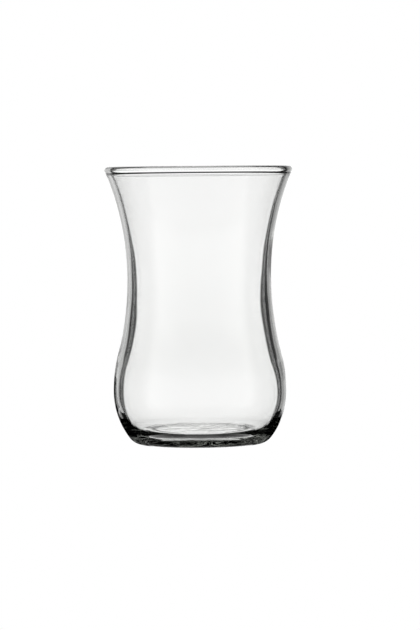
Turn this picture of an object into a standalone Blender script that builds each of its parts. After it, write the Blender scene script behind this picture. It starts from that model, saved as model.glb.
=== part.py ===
"""Turkish tea glass: one turned piece of clear pressed glass, narrow at the waist and wide at the belly.

The glass stands on the plane z = 0, with its axis on Z. Its section is worked out as (radius, height)
points on arcs that run smoothly into each other, and is then turned round the axis.
"""

import math

import bpy

MM = 0.001

# Outside of the glass
HEIGHT = 85.0 * MM
WAIST_RADIUS = 22.05 * MM
WAIST_HEIGHT = 50.75 * MM
BELLY_RADIUS = 26.5 * MM
BELLY_HEIGHT = 16.2 * MM
FLARE_ARC = 84.5 * MM
SHOULDER_ARC = 45.7 * MM
BELLY_LOWER_ARC = 23.5 * MM

# The lip is a fire-polished bead, thicker than the wall, with a small fillet under it on each side
LIP_RADIUS = 28.8 * MM
LIP_BEAD = 1.15 * MM
LIP_NECK = 0.5 * MM

# The foot: a flat ring that bears on the table, round a shallow recess
FOOT_RADIUS = 17.7 * MM
RECESS_RADIUS = 15.0 * MM
RECESS_SLOPE = 1.0 * MM
RECESS_DEPTH = 0.6 * MM

# Inside of the glass, whose waist sits lower than the outside one, so the wall is thickest below the waist
INNER_WAIST_RADIUS = 20.15 * MM
INNER_WAIST_HEIGHT = 48.0 * MM
INNER_BELLY_RADIUS = 24.75 * MM
INNER_FLARE_ARC = 95.0 * MM
INNER_SHOULDER_ARC = 34.0 * MM

# The inner floor: flat, with a corner that turns up into the longer arc of the lower wall
FLOOR_HEIGHT = 3.3 * MM
INNER_CORNER_ARC = 6.5 * MM
INNER_LOWER_ARC = 17.0 * MM
INNER_LOWER_TURN = math.radians(33.0)

# Centres, as (radius, height), of the bead and of the arcs that flare outside and inside
LIP_CENTRE = (LIP_RADIUS - LIP_BEAD, HEIGHT - LIP_BEAD)
FLARE_CENTRE = (WAIST_RADIUS + FLARE_ARC, WAIST_HEIGHT)
INNER_FLARE_CENTRE = (INNER_WAIST_RADIUS + INNER_FLARE_ARC, INNER_WAIST_HEIGHT)

# Steps of the turned mesh: round the axis, and the longest step along an arc of the section
TURN_STEPS = 56
LONG_ARC_STEP = math.radians(3.2)
ROUND_ARC_STEP = math.radians(8.0)
BEAD_STEP = math.radians(30.0)

# Clear soda-lime glass
GLASS_COLOUR = (0.93, 0.96, 0.94, 1.0)
GLASS_ROUGHNESS = 0.02
GLASS_IOR = 1.52


def arc(centre, radius, start, end, longest_step):
    """Points along an arc, from the angle start to the angle end, in radians from the +radius direction."""
    steps = max(1, math.ceil(abs(end - start) / longest_step))
    angles = [start + (end - start) * i / steps for i in range(steps + 1)]
    return [
        (centre[0] + radius * math.cos(angle), centre[1] + radius * math.sin(angle))
        for angle in angles
    ]


def direction(origin, target):
    """The angle at which target is seen from origin."""
    return math.atan2(target[1] - origin[1], target[0] - origin[0])


def crossing(centre_a, radius_a, centre_b, radius_b):
    """Where two circles cross, on the left-hand side of the way from centre_a to centre_b."""
    gap = math.dist(centre_a, centre_b)
    along = (radius_a**2 - radius_b**2 + gap**2) / (2 * gap)
    aside = math.sqrt(radius_a**2 - along**2)
    heading = direction(centre_a, centre_b)
    return (
        centre_a[0] + along * math.cos(heading) - aside * math.sin(heading),
        centre_a[1] + along * math.sin(heading) + aside * math.cos(heading),
    )


def waist_bend(belly, waist, shoulder_radius):
    """Two arcs that meet smoothly, one over the belly and one into the waist, listed from belly to waist."""
    rise = waist[1] - belly[1]
    turn = 2 * math.atan2(belly[0] - waist[0], rise)
    waist_radius = rise / math.sin(turn) - shoulder_radius
    shoulder_centre = (belly[0] - shoulder_radius, belly[1])
    waist_centre = (waist[0] + waist_radius, waist[1])
    return (
        arc(shoulder_centre, shoulder_radius, 0.0, turn, LONG_ARC_STEP)
        + arc(waist_centre, waist_radius, math.pi + turn, math.pi, LONG_ARC_STEP)[1:]
    )


def inside_section(neck_centre):
    """From the middle of the floor up to the bead, through the fillet under it."""
    gap = INNER_LOWER_ARC - INNER_CORNER_ARC
    lower_centre = (
        INNER_BELLY_RADIUS - INNER_LOWER_ARC,
        FLOOR_HEIGHT + INNER_CORNER_ARC + gap * math.sin(INNER_LOWER_TURN),
    )
    corner_centre = (
        lower_centre[0] + gap * math.cos(INNER_LOWER_TURN),
        FLOOR_HEIGHT + INNER_CORNER_ARC,
    )
    belly = (INNER_BELLY_RADIUS, lower_centre[1])
    waist = (INNER_WAIST_RADIUS, INNER_WAIST_HEIGHT)
    flare_top = direction(INNER_FLARE_CENTRE, neck_centre)
    neck_start = direction(neck_centre, INNER_FLARE_CENTRE)
    neck_end = direction(neck_centre, LIP_CENTRE)
    corner = arc(
        corner_centre, INNER_CORNER_ARC, -math.pi / 2, -INNER_LOWER_TURN, ROUND_ARC_STEP
    )
    return (
        [(0.0, FLOOR_HEIGHT)]
        + corner
        + arc(lower_centre, INNER_LOWER_ARC, -INNER_LOWER_TURN, 0.0, ROUND_ARC_STEP)[1:]
        + waist_bend(belly, waist, INNER_SHOULDER_ARC)[1:]
        + arc(INNER_FLARE_CENTRE, INNER_FLARE_ARC, math.pi, flare_top, LONG_ARC_STEP)[1:]
        + arc(neck_centre, LIP_NECK, neck_start, neck_end, BEAD_STEP)[1:]
    )


def lip_section(inner_neck, outer_neck):
    """Over the bead, from the fillet inside to the fillet outside."""
    start = direction(LIP_CENTRE, inner_neck) % (2 * math.pi)
    return arc(LIP_CENTRE, LIP_BEAD, start, direction(LIP_CENTRE, outer_neck), BEAD_STEP)


def outside_section(neck_centre):
    """From the bead down the outside, through the fillet under it, to the edge of the foot."""
    neck_start = direction(neck_centre, LIP_CENTRE)
    flare_top = direction(FLARE_CENTRE, neck_centre)
    belly = (BELLY_RADIUS, BELLY_HEIGHT)
    lower_centre = (BELLY_RADIUS - BELLY_LOWER_ARC, BELLY_HEIGHT)
    # The corner touches the table at FOOT_RADIUS and runs smoothly into the lower belly
    inset = FOOT_RADIUS - lower_centre[0]
    corner_radius = (BELLY_LOWER_ARC**2 - BELLY_HEIGHT**2 - inset**2) / (
        2 * (BELLY_LOWER_ARC - BELLY_HEIGHT)
    )
    corner_centre = (FOOT_RADIUS, corner_radius)
    corner_top = direction(lower_centre, corner_centre)
    bend = waist_bend(belly, (WAIST_RADIUS, WAIST_HEIGHT), SHOULDER_ARC)
    return (
        arc(neck_centre, LIP_NECK, neck_start, flare_top, BEAD_STEP)
        + arc(FLARE_CENTRE, FLARE_ARC, flare_top, math.pi, LONG_ARC_STEP)[1:]
        + bend[::-1][1:]
        + arc(lower_centre, BELLY_LOWER_ARC, 0.0, corner_top, ROUND_ARC_STEP)[1:]
        + arc(corner_centre, corner_radius, corner_top, -math.pi / 2, 1.5 * ROUND_ARC_STEP)[1:]
    )


def underside_section():
    """From the bearing ring into the recess and to the middle of the underside."""
    return [
        (RECESS_RADIUS, 0.0),
        (RECESS_RADIUS - RECESS_SLOPE, RECESS_DEPTH),
        (0.0, RECESS_DEPTH),
    ]


def glass_section():
    """The whole section, up the inside, over the lip and down the outside."""
    reach = LIP_BEAD + LIP_NECK
    inner_neck = crossing(INNER_FLARE_CENTRE, INNER_FLARE_ARC + LIP_NECK, LIP_CENTRE, reach)
    outer_neck = crossing(FLARE_CENTRE, FLARE_ARC - LIP_NECK, LIP_CENTRE, reach)
    return (
        inside_section(inner_neck)
        + lip_section(inner_neck, outer_neck)[1:]
        + outside_section(outer_neck)[1:]
        + underside_section()
    )


def clear_glass():
    material = bpy.data.materials.new("clear_glass")
    material.use_nodes = True
    shader = material.node_tree.nodes["Principled BSDF"]
    shader.inputs["Base Color"].default_value = GLASS_COLOUR
    shader.inputs["Metallic"].default_value = 0.0
    shader.inputs["Roughness"].default_value = GLASS_ROUGHNESS
    shader.inputs["IOR"].default_value = GLASS_IOR
    shader.inputs["Transmission Weight"].default_value = 1.0
    return material


def turned(name, section, material, collection):
    """A piece turned round Z from its section, closed where the section meets the axis."""
    mesh = bpy.data.meshes.new(name)
    points = [(radius, 0.0, height) for radius, height in section]
    mesh.from_pydata(points, [(i, i + 1) for i in range(len(points) - 1)], [])
    mesh.materials.append(material)
    piece = bpy.data.objects.new(name, mesh)
    collection.objects.link(piece)
    screw = piece.modifiers.new("turn", "SCREW")
    screw.axis = "Z"
    screw.angle = 2 * math.pi
    screw.steps = TURN_STEPS
    screw.render_steps = TURN_STEPS
    screw.use_smooth_shade = True
    screw.use_merge_vertices = True
    screw.merge_threshold = 0.00001
    return piece


def main():
    for old in list(bpy.data.objects):
        bpy.data.objects.remove(old, do_unlink=True)
    collection = bpy.data.collections.new("tea_glass_parts")
    bpy.context.scene.collection.children.link(collection)
    turned("tea_glass", glass_section(), clear_glass(), collection)


main()
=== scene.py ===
"""An empty Turkish tea glass of clear pressed glass, turned about its axis and lit on a pale table."""

import math

import bpy
from mathutils import Matrix, Vector


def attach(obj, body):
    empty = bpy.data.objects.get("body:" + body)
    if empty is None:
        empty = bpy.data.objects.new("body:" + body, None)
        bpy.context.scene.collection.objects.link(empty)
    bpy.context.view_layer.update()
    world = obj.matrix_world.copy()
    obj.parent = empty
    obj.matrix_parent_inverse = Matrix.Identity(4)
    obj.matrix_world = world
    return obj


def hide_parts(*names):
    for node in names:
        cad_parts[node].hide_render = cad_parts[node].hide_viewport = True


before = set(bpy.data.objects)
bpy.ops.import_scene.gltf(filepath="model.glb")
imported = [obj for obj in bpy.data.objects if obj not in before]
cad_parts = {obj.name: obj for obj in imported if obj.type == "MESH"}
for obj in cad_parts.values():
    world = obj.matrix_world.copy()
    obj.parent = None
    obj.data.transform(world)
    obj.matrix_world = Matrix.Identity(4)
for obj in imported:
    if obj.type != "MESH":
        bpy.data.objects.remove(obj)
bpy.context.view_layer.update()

MM = 0.001
WHITE = (1.0, 1.0, 1.0, 1.0)

# The glass's outside, as in the frame
HEIGHT = 85.0 * MM
WAIST_RADIUS = 22.05 * MM
WAIST_HEIGHT = 50.75 * MM
BELLY_RADIUS = 26.5 * MM
BELLY_HEIGHT = 16.2 * MM
FLARE_ARC = 84.5 * MM
SHOULDER_ARC = 45.7 * MM
BELLY_LOWER_ARC = 23.5 * MM
LIP_RADIUS = 28.8 * MM
LIP_BEAD = 1.15 * MM
LIP_NECK = 0.5 * MM
FOOT_RADIUS = 17.7 * MM
RECESS_RADIUS = 15.0 * MM
RECESS_SLOPE = 1.0 * MM
RECESS_DEPTH = 0.6 * MM

# The glass's inside
INNER_WAIST_RADIUS = 20.15 * MM
INNER_WAIST_HEIGHT = 48.0 * MM
INNER_BELLY_RADIUS = 24.75 * MM
INNER_FLARE_ARC = 95.0 * MM
INNER_SHOULDER_ARC = 34.0 * MM
INNER_LOWER_ARC = 17.0 * MM
INNER_LOWER_TURN = math.radians(33.0)
INNER_CORNER_ARC = 6.5 * MM
FLOOR_HEIGHT = 3.3 * MM

# How fine the turned mesh is: steps round the axis, the longest step along an arc, and steps along the rest
AROUND = 240
ALONG = 0.8 * MM
FEWEST_ARC_STEPS = 4
LIP_STEPS = 28
RING_STEPS = 4
SLOPE_STEPS = 3
DISC_RINGS = 28
MERGE = 0.01 * MM

# Waves that pressing leaves, as (size, height)
FLOOR_RIPPLES = (3.2 * MM, 0.25 * MM)
WALL_WAVES = (16.0 * MM, 0.14 * MM)
RECESS_WAVES = (5.0 * MM, 0.12 * MM)

# Where those waves lie: on the floor out to a radius, below a height and within a tilt, and on the wall
# between two heights, with the distances over which they fade out
RIPPLED_RADIUS = 20.0 * MM
RIPPLED_TOP = 8.0 * MM
RIPPLED_TILT = math.radians(60.0)
DISC_FADE = 3.0 * MM
WALL_WAVES_FROM = 6.0 * MM
WALL_WAVES_TO = HEIGHT - 3.0 * MM
WALL_FADE = 8.0 * MM

# Camera, from the photograph: its distance, its height, the point it looks at and its lean
CAMERA_DISTANCE = 1.05
CAMERA_HEIGHT = 82.0 * MM
AIM_ASIDE = 3.2 * MM
AIM_HEIGHT = 39.4 * MM
CAMERA_LEAN = math.radians(-0.5)
LENS = 196.0
CLIP_START = 0.01
CLIP_END = 20.0

# The room as it shows through the glass, as (degrees, tone): by bearing, folded so that all sides are alike,
# and by height
THROUGH_FOLD = math.radians(45.0)
THROUGH_BEARINGS = (
    (0, 0.93),
    (5, 1.0),
    (10, 1.12),
    (13.5, 1.25),
    (16.5, 0.02),
    (35, 0.02),
    (38, 1.0),
    (45, 1.0),
)
THROUGH_HEIGHTS = ((-90, 0.92), (-36, 0.92), (-30, 0.95), (-12, 1.0), (17, 1.0), (27, 0.05), (90, 0.05))
BACKLIGHT = 1.25

# The room as it shows mirrored in the glass, as (degrees, tone), with bearing 0 behind the glass
MIRROR_BEARINGS = (
    (-180, 0.5),
    (-105, 0.5),
    (-95, 0.05),
    (-38, 0.03),
    (-32, 0.8),
    (-26, 0.8),
    (-18, 0.5),
    (-12, 0.7),
    (-8, 1.3),
    (8, 1.3),
    (12, 0.7),
    (18, 0.5),
    (28, 0.5),
    (33, 0.02),
    (95, 0.02),
    (105, 0.5),
    (180, 0.5),
)
MIRROR_HEIGHTS = ((-90, 0.05), (-50, 0.08), (-35, 0.2), (-26, 0.25), (-15, 1.0), (90, 1.0))

# The share left of light that is mirrored again and again inside the foot, and the counts of turns between
# which it falls to that, where the count starts at one
MIRRORED_OFTEN = 0.65
FADING_TURNS = (2.0, 4.0)

# Black cards that only light mirrored in the glass meets: on each side of the foot one lies and one stands
# close behind, and a low flag stands behind on the left
SIDE_CARD_X = (16.0 * MM, 43.0 * MM)
SIDE_CARD_Y = (-10.0 * MM, 42.0 * MM)
SIDE_CARD_DROP = 1.0 * MM
FOOT_CARD_X = (16.0 * MM, 40.0 * MM)
FOOT_CARD_Z = (-8.0 * MM, 3.0 * MM)
FOOT_CARD_Y = 27.0 * MM
FLAG_FROM = (-25.0 * MM, 10.0 * MM)
FLAG_BEARINGS = (-31.0, -4.0)
FLAG_AWAY = 80.0 * MM
FLAG_TOP = 28.0 * MM
FLAG_BOTTOM = -6.0 * MM

# The finish of the glass: the ripple of fire polishing, as (size, height), the film from wiping, as (size,
# roughness), with the share of the noise that it covers, and a painted shade on the lip's crown: the depth
# it sets in over and its grey, which darkens the crown as the dark line of bent light there
POLISH_RIPPLE = (4.0 * MM, 0.0006 * MM)
WIPED_FILM = (14.0 * MM, 0.008)
FILM_NOISE = (0.45, 0.75)
CROWN_SHADE_DEPTH = 0.8 * MM
CROWN_PAINTED_SHADE = "#7c7c7c"
GLASS_IOR = 1.52
GLASS_TINT = "#e0e1df"
ABSORPTION = 150.0

TABLE_SIZE = 3.0
TABLE_SIDES = 96
TABLE_GAP = 0.15 * MM

# Turns that light may take, since it is mirrored many times in the foot
BOUNCES = 32


def linear(hex_colour):
    """An sRGB hex colour as the linear values that Blender's sockets take."""
    channels = [int(hex_colour[i : i + 2], 16) / 255 for i in (1, 3, 5)]
    return [c / 12.92 if c <= 0.04045 else ((c + 0.055) / 1.055) ** 2.4 for c in channels] + [1.0]


def node(tree, kind, inputs=None, **settings):
    """A shader node with its settings, and its inputs linked or set by name or place."""
    made = tree.nodes.new(kind)
    for name, value in settings.items():
        setattr(made, name, value)
    for socket, value in (inputs or {}).items():
        if isinstance(value, bpy.types.NodeSocket):
            tree.links.new(value, made.inputs[socket])
        else:
            made.inputs[socket].default_value = value
    return made


def bare_tree(owner):
    """The node tree of a material or of the world, emptied."""
    owner.use_nodes = True
    owner.node_tree.nodes.clear()
    return owner.node_tree


def direction(origin, target):
    """The angle at which target is seen from origin."""
    return math.atan2(target[1] - origin[1], target[0] - origin[0])


def crossing(centre_a, radius_a, centre_b, radius_b):
    """Where two circles cross, on the left-hand side of the way from centre_a to centre_b."""
    gap = math.dist(centre_a, centre_b)
    along = (radius_a**2 - radius_b**2 + gap**2) / (2 * gap)
    aside = math.sqrt(radius_a**2 - along**2)
    heading = direction(centre_a, centre_b)
    return (
        centre_a[0] + along * math.cos(heading) - aside * math.sin(heading),
        centre_a[1] + along * math.sin(heading) + aside * math.cos(heading),
    )


def draw_arc(centre, radius, start, end, steps=None):
    """Carries the drawn line on along an arc, from the angle start to the angle end."""
    steps = steps or max(FEWEST_ARC_STEPS, math.ceil(abs(end - start) * radius / ALONG))
    bpy.ops.mesh.spin(
        steps=steps, angle=end - start, center=(centre[0], 0, centre[1]), axis=(0, 1, 0)
    )


def draw_to(here, there, steps):
    """Carries the drawn line straight on, in equal steps."""
    step = ((there[0] - here[0]) / steps, 0, (there[1] - here[1]) / steps)
    for _ in range(steps):
        bpy.ops.mesh.extrude_region_move(TRANSFORM_OT_translate={"value": step})


def draw_bend(belly, waist, shoulder_radius, upwards):
    """The S from belly to waist: one arc over the belly and one into the waist, which meet smoothly."""
    rise = waist[1] - belly[1]
    turn = 2 * math.atan2(belly[0] - waist[0], rise)
    waist_radius = rise / math.sin(turn) - shoulder_radius
    shoulder = (belly[0] - shoulder_radius, belly[1])
    hollow = (waist[0] + waist_radius, waist[1])
    if upwards:
        draw_arc(shoulder, shoulder_radius, 0.0, turn)
        draw_arc(hollow, waist_radius, math.pi + turn, math.pi)
    else:
        draw_arc(hollow, waist_radius, math.pi, math.pi + turn)
        draw_arc(shoulder, shoulder_radius, turn, 0.0)


def draw_inside(bead):
    """From the middle of the floor up to the lip, through the fillet under it, whose centre it gives."""
    gap = INNER_LOWER_ARC - INNER_CORNER_ARC
    corner = (
        INNER_BELLY_RADIUS - INNER_LOWER_ARC + gap * math.cos(INNER_LOWER_TURN),
        FLOOR_HEIGHT + INNER_CORNER_ARC,
    )
    belly = (INNER_BELLY_RADIUS, corner[1] + gap * math.sin(INNER_LOWER_TURN))
    lower = (INNER_BELLY_RADIUS - INNER_LOWER_ARC, belly[1])
    waist = (INNER_WAIST_RADIUS, INNER_WAIST_HEIGHT)
    flare = (INNER_WAIST_RADIUS + INNER_FLARE_ARC, INNER_WAIST_HEIGHT)
    neck = crossing(flare, INNER_FLARE_ARC + LIP_NECK, bead, LIP_BEAD + LIP_NECK)
    draw_to((0, FLOOR_HEIGHT), (corner[0], FLOOR_HEIGHT), DISC_RINGS)
    draw_arc(corner, INNER_CORNER_ARC, -math.pi / 2, -INNER_LOWER_TURN)
    draw_arc(lower, INNER_LOWER_ARC, -INNER_LOWER_TURN, 0)
    draw_bend(belly, waist, INNER_SHOULDER_ARC, upwards=True)
    draw_arc(flare, INNER_FLARE_ARC, math.pi, direction(flare, neck))
    draw_arc(neck, LIP_NECK, direction(neck, flare), direction(neck, bead))
    return neck


def draw_outside(bead, inner_neck):
    """Over the lip and down the outside to the edge of the foot."""
    flare = (WAIST_RADIUS + FLARE_ARC, WAIST_HEIGHT)
    neck = crossing(flare, FLARE_ARC - LIP_NECK, bead, LIP_BEAD + LIP_NECK)
    lip_start = direction(bead, inner_neck) % (2 * math.pi)
    draw_arc(bead, LIP_BEAD, lip_start, direction(bead, neck), LIP_STEPS)
    draw_arc(neck, LIP_NECK, direction(neck, bead), direction(flare, neck))
    draw_arc(flare, FLARE_ARC, direction(flare, neck), math.pi)
    belly = (BELLY_RADIUS, BELLY_HEIGHT)
    draw_bend(belly, (WAIST_RADIUS, WAIST_HEIGHT), SHOULDER_ARC, upwards=False)
    # The corner touches the table at FOOT_RADIUS and runs smoothly into the lower belly
    lower = (BELLY_RADIUS - BELLY_LOWER_ARC, BELLY_HEIGHT)
    inset = FOOT_RADIUS - lower[0]
    corner_radius = (BELLY_LOWER_ARC**2 - BELLY_HEIGHT**2 - inset**2) / (
        2 * (BELLY_LOWER_ARC - BELLY_HEIGHT)
    )
    corner = (FOOT_RADIUS, corner_radius)
    corner_top = direction(lower, corner)
    draw_arc(lower, BELLY_LOWER_ARC, 0, corner_top)
    draw_arc(corner, corner_radius, corner_top, -math.pi / 2)


def draw_underside():
    """From the bearing ring into the recess and to its middle."""
    recess_top = (RECESS_RADIUS - RECESS_SLOPE, RECESS_DEPTH)
    draw_to((FOOT_RADIUS, 0), (RECESS_RADIUS, 0), RING_STEPS)
    draw_to((RECESS_RADIUS, 0), recess_top, SLOPE_STEPS)
    draw_to(recess_top, (0, RECESS_DEPTH), DISC_RINGS)


def glass_body():
    """The glass: its half section is drawn from one point, arc by arc, then spun round the axis."""
    bpy.ops.object.select_all(action="DESELECT")
    bpy.ops.mesh.primitive_plane_add(size=MM, location=(0, 0, 0))
    body = bpy.context.object
    body.name = "glass_body"
    bpy.ops.object.mode_set(mode="EDIT")
    bpy.ops.mesh.merge(type="CENTER")
    bpy.ops.transform.translate(value=(0, 0, FLOOR_HEIGHT))
    bead = (LIP_RADIUS - LIP_BEAD, HEIGHT - LIP_BEAD)
    inner_neck = draw_inside(bead)
    draw_outside(bead, inner_neck)
    draw_underside()
    bpy.ops.mesh.select_all(action="SELECT")
    bpy.ops.mesh.spin(steps=AROUND, angle=2 * math.pi, center=(0, 0, 0), axis=(0, 0, 1))
    bpy.ops.mesh.select_all(action="SELECT")
    bpy.ops.mesh.remove_doubles(threshold=MERGE)
    bpy.ops.mesh.normals_make_consistent(inside=False)
    bpy.ops.object.mode_set(mode="OBJECT")
    bpy.ops.object.shade_smooth()
    return body


def uneven(body, name, waves, weight_at):
    """Presses waves into the surface, as deep as weight_at says for a place and the way it faces."""
    group = body.vertex_groups.new(name=name)
    for vertex in body.data.vertices:
        weight = weight_at(vertex.co, vertex.normal)
        if weight > 0:
            group.add([vertex.index], min(1.0, weight), "REPLACE")
    clouds = bpy.data.textures.new(name, "CLOUDS")
    clouds.noise_scale = waves[0]
    clouds.noise_depth = 1
    press = body.modifiers.new(name, "DISPLACE")
    press.texture = clouds
    press.vertex_group = name
    press.strength = waves[1]
    press.mid_level = 0.5
    bpy.ops.object.modifier_apply(modifier=name)
    body.vertex_groups.remove(body.vertex_groups[name])


def on_floor(place, facing):
    """How much a place belongs to the inner floor."""
    level = facing.z > math.cos(RIPPLED_TILT) and place.z < RIPPLED_TOP
    return (RIPPLED_RADIUS - math.hypot(place.x, place.y)) / DISC_FADE if level else 0


def on_inner_wall(place, facing):
    """How much a place belongs to the inner wall."""
    inwards = facing.x * place.x + facing.y * place.y < 0
    return min(place.z - WALL_WAVES_FROM, WALL_WAVES_TO - place.z) / WALL_FADE if inwards else 0


def in_recess(place, facing):
    """How much a place belongs to the recess under the foot."""
    inside = RECESS_RADIUS - RECESS_SLOPE - math.hypot(place.x, place.y)
    return inside / DISC_FADE if place.z < FLOOR_HEIGHT / 2 else 0


def clouded(tree, size):
    """Soft noise from 0 to 1 over the real glass, in patches of about the given size."""
    place = node(tree, "ShaderNodeTexCoord")
    inputs = {"Vector": place.outputs["Object"], "Scale": 1.0 / size}
    return node(tree, "ShaderNodeTexNoise", inputs).outputs["Fac"]


def crown_painted_shade(tree):
    """Clear, with a grey painted shade that sets in towards the top of the lip and darkens it as its dark
    line of bent light.
    """
    place = node(tree, "ShaderNodeTexCoord")
    parts = node(tree, "ShaderNodeSeparateXYZ", {0: place.outputs["Object"]})
    crown = node(
        tree,
        "ShaderNodeMapRange",
        {
            "Value": parts.outputs["Z"],
            "From Min": HEIGHT - CROWN_SHADE_DEPTH,
            "From Max": HEIGHT - CROWN_SHADE_DEPTH / 2,
        },
    )
    # White blends into the grey painted shade towards the top of the crown
    colours = {0: crown.outputs[0], 6: WHITE, 7: linear(CROWN_PAINTED_SHADE)}
    return node(tree, "ShaderNodeMix", colours, data_type="RGBA").outputs[2]


def pressed_soda_lime_glass():
    """Clear pressed soda-lime glass: bends and mirrors the room, with a faint grey-green where it is thick.

    Fire polishing leaves a ripple too shallow to see except where light glances off it, and wiping leaves a
    film that dulls the mirroring in faint patches. The crown of the lip bends light so steeply that it shows
    as a dark line, and a grey painted shade in the base colour there darkens it further.
    """
    material = bpy.data.materials.new("pressed_soda_lime_glass")
    tree = bare_tree(material)
    film = node(
        tree,
        "ShaderNodeMapRange",
        {
            "Value": clouded(tree, WIPED_FILM[0]),
            "From Min": FILM_NOISE[0],
            "From Max": FILM_NOISE[1],
            "To Min": 0.0,
            "To Max": WIPED_FILM[1],
        },
    )
    ripple = node(
        tree,
        "ShaderNodeBump",
        {"Height": clouded(tree, POLISH_RIPPLE[0]), "Distance": POLISH_RIPPLE[1], "Strength": 1.0},
    )
    # The base colour carries the painted shade on the lip's crown
    surface = node(
        tree,
        "ShaderNodeBsdfPrincipled",
        {
            "Base Color": crown_painted_shade(tree),
            "Roughness": film.outputs[0],
            "IOR": GLASS_IOR,
            "Transmission Weight": 1.0,
            "Normal": ripple.outputs[0],
        },
    )
    inside = node(
        tree, "ShaderNodeVolumeAbsorption", {"Color": linear(GLASS_TINT), "Density": ABSORPTION}
    )
    node(
        tree,
        "ShaderNodeOutputMaterial",
        {"Surface": surface.outputs[0], "Volume": inside.outputs[0]},
    )
    return material


def tone_ramp(tree, value, lowest, highest, stops):
    """A tone read from value, eased between stops of (value, tone)."""
    place = node(
        tree, "ShaderNodeMapRange", {"Value": value, "From Min": lowest, "From Max": highest}
    )
    ramp = node(tree, "ShaderNodeValToRGB", {"Fac": place.outputs[0]})
    ramp.color_ramp.interpolation = "EASE"
    marks = ramp.color_ramp.elements
    while len(marks) < len(stops):
        marks.new(1.0)
    for mark, (at, tone) in zip(marks, stops):
        mark.position = (at - lowest) / (highest - lowest)
        mark.color = (tone, tone, tone, 1)
    return ramp.outputs[0]


def room_tone(tree, bearing, lowest, bearings, up, heights):
    """How light the room is in each direction: a tone by bearing, from lowest up, times one by height."""
    turns = [(math.radians(at), tone) for at, tone in bearings]
    sines = [(math.sin(math.radians(at)), tone) for at, tone in heights]
    round_about = tone_ramp(tree, bearing, lowest, turns[-1][0], turns)
    upwards = tone_ramp(tree, up, -1.0, 1.0, sines)
    both = node(tree, "ShaderNodeMath", {0: round_about, 1: upwards}, operation="MULTIPLY")
    return both.outputs[0]


def mirror_turns(tree):
    """How many turns light has taken by mirroring, rather than by passing through a surface."""
    path = node(tree, "ShaderNodeLightPath")
    depths = {0: path.outputs["Ray Depth"], 1: path.outputs["Transmission Depth"]}
    return node(tree, "ShaderNodeMath", depths, operation="SUBTRACT").outputs[0]


def mirrored_tone(tree, bearing, up, turns):
    """The room as mirrored light shows it, weaker after many turns."""
    tone = room_tone(tree, bearing, -math.pi, MIRROR_BEARINGS, up, MIRROR_HEIGHTS)
    left = node(
        tree,
        "ShaderNodeMapRange",
        {
            "Value": turns,
            "From Min": FADING_TURNS[0],
            "From Max": FADING_TURNS[1],
            "To Min": 1.0,
            "To Max": MIRRORED_OFTEN,
        },
    )
    faded = node(tree, "ShaderNodeMath", {0: tone, 1: left.outputs[0]}, operation="MULTIPLY")
    return faded.outputs[0]


def studio_world():
    """A white room: bright cards between dark ones show through the glass, softer ones mirrored in it."""
    world = bpy.data.worlds.new("studio")
    bpy.context.scene.world = world
    tree = bare_tree(world)
    place = node(tree, "ShaderNodeTexCoord")
    parts = node(tree, "ShaderNodeSeparateXYZ", {0: place.outputs["Generated"]})
    up = parts.outputs["Z"]
    level = {0: parts.outputs["X"], 1: parts.outputs["Y"]}
    bearing = node(tree, "ShaderNodeMath", level, operation="ARCTAN2").outputs[0]
    folded = node(tree, "ShaderNodeMath", {0: bearing, 1: THROUGH_FOLD}, operation="PINGPONG")
    seen = room_tone(tree, folded.outputs[0], 0.0, THROUGH_BEARINGS, up, THROUGH_HEIGHTS)
    through = node(tree, "ShaderNodeMath", {0: seen, 1: BACKLIGHT}, operation="MULTIPLY")
    turns = mirror_turns(tree)
    mirrored = mirrored_tone(tree, bearing, up, turns)
    # The count is one more than the turns that the light took in the glass
    bounced = node(tree, "ShaderNodeMath", {0: turns, 1: 1.0}, operation="SUBTRACT", use_clamp=True)
    choice = {0: bounced.outputs[0], 2: through.outputs[0], 3: mirrored}
    tone = node(tree, "ShaderNodeMix", choice, data_type="FLOAT")
    path = node(tree, "ShaderNodeLightPath")
    choice = {0: path.outputs["Is Camera Ray"], 2: tone.outputs[0], 3: 1.0}
    shown = node(tree, "ShaderNodeMix", choice, data_type="FLOAT")
    glow = node(tree, "ShaderNodeBackground", {"Color": WHITE, "Strength": shown.outputs[0]})
    node(tree, "ShaderNodeOutputWorld", {"Surface": glow.outputs[0]})


def black_velvet():
    """Black cloth, which lets all light by that hasn't been mirrored in the glass."""
    material = bpy.data.materials.new("black_velvet")
    tree = bare_tree(material)
    black = node(tree, "ShaderNodeEmission", {"Strength": 0.0})
    clear = node(tree, "ShaderNodeBsdfTransparent")
    mirrored = node(tree, "ShaderNodeMath", {0: mirror_turns(tree), 1: 1.0}, operation="MINIMUM")
    choice = {0: mirrored.outputs[0], 1: clear.outputs[0], 2: black.outputs[0]}
    shown = node(tree, "ShaderNodeMixShader", choice)
    node(tree, "ShaderNodeOutputMaterial", {"Surface": shown.outputs[0]})
    return material


def black_card(name, material, size, middle, turn):
    """A card in the studio, where the camera doesn't see it."""
    bpy.ops.object.select_all(action="DESELECT")
    bpy.ops.mesh.primitive_plane_add(size=1.0, location=(0, 0, 0))
    card = bpy.context.object
    card.name = name
    card.scale = (size[0], size[1], 1)
    card.rotation_euler = turn
    card.location = middle
    bpy.ops.object.transform_apply(location=True, rotation=True, scale=True)
    card.visible_camera = False
    card.visible_diffuse = False
    card.visible_shadow = False
    card.data.materials.append(material)


def spans(first, second):
    """The sizes of two spans, and their middles."""
    return (first[1] - first[0], second[1] - second[0]), (sum(first) / 2, sum(second) / 2)


def side_cards(material):
    """The lying and the standing card on each side of the foot."""
    lying, (lying_x, lying_y) = spans(SIDE_CARD_X, SIDE_CARD_Y)
    standing, (standing_x, standing_z) = spans(FOOT_CARD_X, FOOT_CARD_Z)
    for name, side in (("left", -1), ("right", 1)):
        place = (side * lying_x, lying_y, -SIDE_CARD_DROP)
        black_card(name + "_card", material, lying, place, (0, 0, 0))
        place = (side * standing_x, FOOT_CARD_Y, standing_z)
        black_card(name + "_foot_card", material, standing, place, (math.pi / 2, 0, 0))


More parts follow.
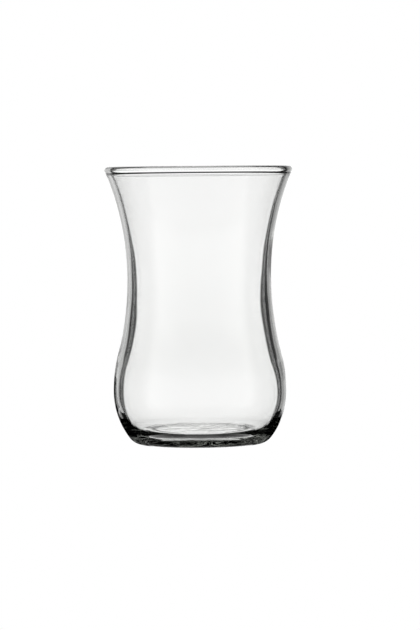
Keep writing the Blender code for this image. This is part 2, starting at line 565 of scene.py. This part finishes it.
def low_flag(material):
    """A standing card that spans FLAG_BEARINGS, in degrees, as seen from FLAG_FROM."""
    ends = []
    for bearing in FLAG_BEARINGS:
        turn = math.radians(bearing)
        ends.append(
            (FLAG_FROM[0] + FLAG_AWAY * math.sin(turn), FLAG_FROM[1] + FLAG_AWAY * math.cos(turn))
        )
    middle = [(ends[0][i] + ends[1][i]) / 2 for i in (0, 1)] + [(FLAG_TOP + FLAG_BOTTOM) / 2]
    size = (math.dist(*ends), FLAG_TOP - FLAG_BOTTOM)
    black_card("low_flag", material, size, middle, (math.pi / 2, 0, direction(*ends)))


def pale_table():
    """A round table of glowing opal, just under the foot, which only the camera sees."""
    bpy.ops.object.select_all(action="DESELECT")
    bpy.ops.mesh.primitive_circle_add(
        vertices=TABLE_SIDES, radius=TABLE_SIZE / 2, fill_type="NGON", location=(0, 0, -TABLE_GAP)
    )
    table = bpy.context.object
    table.name = "pale_table"
    bpy.ops.object.transform_apply(location=True, rotation=True, scale=True)
    table.visible_transmission = False
    table.visible_glossy = False
    table.visible_diffuse = False
    material = bpy.data.materials.new("opal_table")
    tree = bare_tree(material)
    glow = node(tree, "ShaderNodeEmission", {"Color": WHITE, "Strength": 1.0})
    node(tree, "ShaderNodeOutputMaterial", {"Surface": glow.outputs[0]})
    table.data.materials.append(material)


def camera():
    """A long lens just under the height of the lip, as in the photograph."""
    data = bpy.data.cameras.new("camera")
    data.lens = LENS
    data.clip_start = CLIP_START
    data.clip_end = CLIP_END
    eye = bpy.data.objects.new("camera", data)
    bpy.context.scene.collection.objects.link(eye)
    place = Vector((0, -CAMERA_DISTANCE, CAMERA_HEIGHT))
    aim = Vector((AIM_ASIDE, 0, AIM_HEIGHT))
    turn = (aim - place).to_track_quat("-Z", "Y").to_matrix().to_4x4()
    eye.matrix_world = Matrix.Translation(place) @ turn @ Matrix.Rotation(CAMERA_LEAN, 4, "Z")
    bpy.context.scene.camera = eye


def show_true_tones():
    """Plain tones, with enough turns of light for the thick foot."""
    scene = bpy.context.scene
    scene.view_settings.view_transform = "Standard"
    scene.cycles.max_bounces = BOUNCES
    scene.cycles.transmission_bounces = BOUNCES
    scene.cycles.glossy_bounces = BOUNCES


def main():
    camera()
    studio_world()
    pale_table()
    velvet = black_velvet()
    side_cards(velvet)
    low_flag(velvet)
    body = glass_body()
    uneven(body, "floor_ripples", FLOOR_RIPPLES, on_floor)
    uneven(body, "wall_waves", WALL_WAVES, on_inner_wall)
    uneven(body, "recess_waves", RECESS_WAVES, in_recess)
    body.data.materials.append(pressed_soda_lime_glass())
    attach(body, "root")
    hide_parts("tea_glass")
    show_true_tones()


main()
